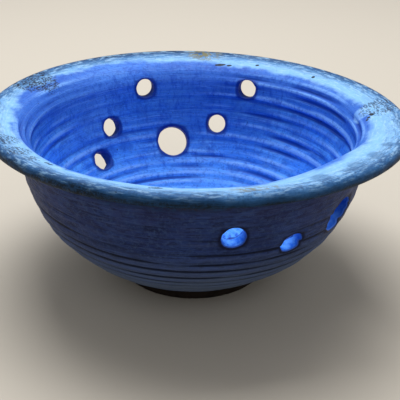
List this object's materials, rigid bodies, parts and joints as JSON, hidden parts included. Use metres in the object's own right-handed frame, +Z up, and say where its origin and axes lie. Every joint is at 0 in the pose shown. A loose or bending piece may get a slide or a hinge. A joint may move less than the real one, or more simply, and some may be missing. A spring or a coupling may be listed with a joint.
{
  "type": "berry colander bowl",
  "caption": "Round hand-thrown stoneware berry bowl with a wide flared rim, a turned foot ring and drain holes through its curved wall and floor.",
  "frame": {"origin": "centre of the foot ring's bottom face, on the table", "axes": "+Z up along the axis the bowl was thrown on, +Y away from the viewer of the picture, +X to that viewer's right"},
  "size_m": [0.18, 0.18, 0.076],
  "materials": {
    "bare_clay": "matte",
    "clay_body": "matte",
    "blue_glaze": "gloss",
    "slate_glaze": "satin",
    "pale_glaze": "gloss"
  },
  "bodies": {
    "root": {"foot_ring": "bare_clay", "floor": "clay_body", "wall": "clay_body", "rim": "clay_body", "inside_glaze": "blue_glaze", "outside_glaze": "slate_glaze", "rim_glaze": "pale_glaze", "hole_glaze": "blue_glaze"}
  },
  "joints": []
}
